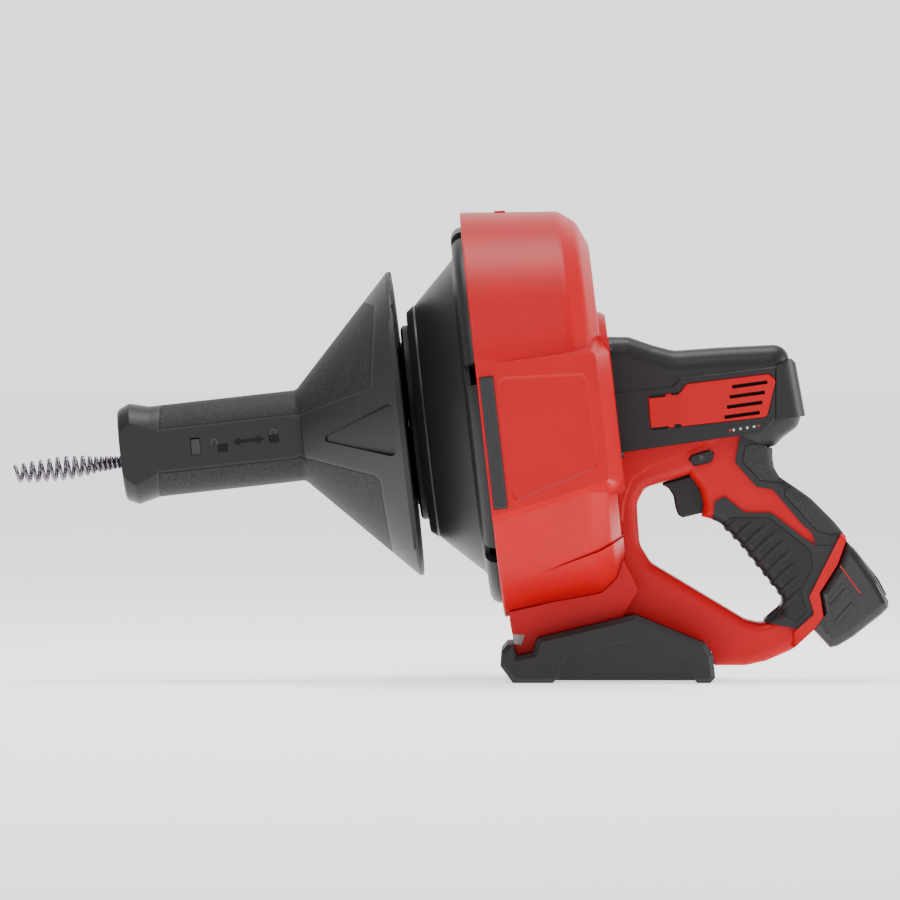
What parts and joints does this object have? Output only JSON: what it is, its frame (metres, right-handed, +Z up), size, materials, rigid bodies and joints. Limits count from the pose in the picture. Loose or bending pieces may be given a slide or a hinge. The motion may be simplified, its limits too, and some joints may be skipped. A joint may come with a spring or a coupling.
{
  "type": "drain snake machine",
  "caption": "Hand-held cordless drain snake: a cable drum in a red shroud, a conical hand guard with a nozzle, a D-handle with trigger and a stem battery.",
  "frame": {"origin": "under the middle of the object, on the surface that its foot rests on", "axes": "+Z up; -X towards the nozzle, +X towards the battery; Y = 0 is the plane of symmetry"},
  "size_m": [0.5686, 0.2568, 0.3052],
  "materials": {
    "red_nylon": "injection-moulded glass-filled nylon, satin, mould texture on the broad faces",
    "black_nylon": "injection-moulded glass-filled nylon, satin black",
    "black_rubber": "overmoulded thermoplastic elastomer, fine grain",
    "battery_plastic": "moulded polycarbonate blend, semi-gloss",
    "label_film": "printed polyester film, plain",
    "gauge_film": "smoked polycarbonate window",
    "lamp_lens": "clear moulded polycarbonate",
    "lamp_board": "white lamp board",
    "spring_steel": "drawn spring steel wire, lightly oiled",
    "machined_steel": "turned and ground steel",
    "zinc_screws": "black zinc-plated steel",
    "drive_casing": "die-cast and drawn casings",
    "cell_sleeve": "heat-shrunk cell sleeve",
    "indicator_grey": "moulded acetal, mid grey"
  },
  "bodies": {
    "root": {"drum_shroud": "red_nylon", "side_bumper_left": "black_rubber", "side_bumper_right": "black_rubber", "shroud_screws": "zinc_screws", "gearbox_case": "drive_casing", "spindle_bearing": "machined_steel", "motor_can": "drive_casing", "motor_housing_left": "black_nylon", "motor_housing_right": "black_nylon", "rear_cap": "black_nylon", "vent_panel_left": "red_nylon", "vent_panel_right": "red_nylon", "gauge_plate": "gauge_film", "gauge_lamps": "lamp_lens", "frame_left": "red_nylon", "frame_right": "red_nylon", "grip_pad": "black_rubber", "palm_pad": "black_rubber", "switch_module": "black_nylon", "work_light_lens": "lamp_lens", "work_light_lamp": "lamp_board", "foot": "black_rubber"},
    "drum": {"drum_front": "black_nylon", "drum_back": "black_nylon", "drum_neck": "black_nylon", "neck_screws": "zinc_screws", "cable_winding": "spring_steel", "cable_inner_run": "spring_steel", "chuck_body": "machined_steel", "drive_hub": "machined_steel", "hub_screws": "zinc_screws", "output_spindle": "machined_steel", "output_carrier": "machined_steel"},
    "guide_sleeve": {"guide_sleeve": "black_nylon"},
    "guide": {"nozzle_guard": "black_nylon", "nozzle_collar": "black_nylon", "nozzle_tube": "black_nylon", "lock_indicator": "indicator_grey"},
    "chuck_collar": {"chuck_collar": "machined_steel"},
    "chuck_jaw_1": {"chuck_jaw_1": "machined_steel"},
    "chuck_jaw_2": {"chuck_jaw_2": "machined_steel"},
    "chuck_jaw_3": {"chuck_jaw_3": "machined_steel"},
    "cable": {"cable_lead": "spring_steel", "bulb_auger": "spring_steel"},
    "rotor": {"motor_rotor": "machined_steel"},
    "trigger": {"trigger": "black_nylon"},
    "direction_button": {"direction_button": "black_nylon"},
    "battery": {"battery_case": "battery_plastic", "battery_label": "label_film", "battery_cells": "cell_sleeve"},
    "latch_left": {"latch_left": "battery_plastic"},
    "latch_right": {"latch_right": "battery_plastic"}
  },
  "joints": [
    {"name": "drum_spin", "type": "hinge", "parent": "root", "child": "drum", "pos_m": [0, 0, 0.17], "axis": [0.9938, 0, 0.1115], "continuous": true},
    {"name": "rotor_spin", "type": "hinge", "parent": "root", "child": "rotor", "pos_m": [0, 0, 0.17], "axis": [0.9938, 0, 0.1115], "continuous": true},
    {"name": "guide_swivel", "type": "hinge", "parent": "root", "child": "guide_sleeve", "pos_m": [0, 0, 0.17], "axis": [0.9938, 0, 0.1115], "continuous": true},
    {"name": "guide_lock", "type": "slide", "parent": "guide_sleeve", "child": "guide", "axis": [0.9938, 0, 0.1115], "range_m": [0, 0.012]},
    {"name": "collar_slide", "type": "slide", "parent": "drum", "child": "chuck_collar", "axis": [0.9938, 0, 0.1115], "range_m": [0, 0.012]},
    {"name": "jaw_slide_1", "type": "slide", "parent": "drum", "child": "chuck_jaw_1", "axis": [0.1115, 0, -0.9938], "range_m": [0, 0.0006]},
    {"name": "jaw_slide_2", "type": "slide", "parent": "drum", "child": "chuck_jaw_2", "axis": [-0.0557, 0.866, 0.4969], "range_m": [0, 0.0006]},
    {"name": "jaw_slide_3", "type": "slide", "parent": "drum", "child": "chuck_jaw_3", "axis": [-0.0557, -0.866, 0.4969], "range_m": [0, 0.0006]},
    {"name": "cable_feed", "type": "slide", "parent": "drum", "child": "cable", "axis": [-0.9938, 0, -0.1115], "range_m": [0, 0.1]},
    {"name": "trigger_pull", "type": "slide", "parent": "root", "child": "trigger", "axis": [0.9659, 0, 0.2588], "range_m": [0, 0.007], "stiffness_N_per_m": 800, "springref_m": -0.004},
    {"name": "direction_shift", "type": "slide", "parent": "root", "child": "direction_button", "axis": [0, 1, 0], "range_m": [-0.003, 0.003]},
    {"name": "battery_slide", "type": "slide", "parent": "root", "child": "battery", "axis": [0.6293, 0, -0.7771], "range_m": [0, 0.085]},
    {"name": "latch_press_left", "type": "slide", "parent": "battery", "child": "latch_left", "axis": [0, 1, 0], "range_m": [0, 0.002], "stiffness_N_per_m": 500, "springref_m": -0.002},
    {"name": "latch_press_right", "type": "slide", "parent": "battery", "child": "latch_right", "axis": [0, -1, 0], "range_m": [0, 0.002], "stiffness_N_per_m": 500, "springref_m": -0.002}
  ],
  "couplings": [
    {"joint": "rotor_spin", "follows": "drum_spin", "ratio": 25},
    {"joint": "collar_slide", "follows": "guide_lock", "ratio": 1},
    {"joint": "jaw_slide_1", "follows": "guide_lock", "ratio": 0.045},
    {"joint": "jaw_slide_2", "follows": "guide_lock", "ratio": 0.045},
    {"joint": "jaw_slide_3", "follows": "guide_lock", "ratio": 0.045}
  ]
}
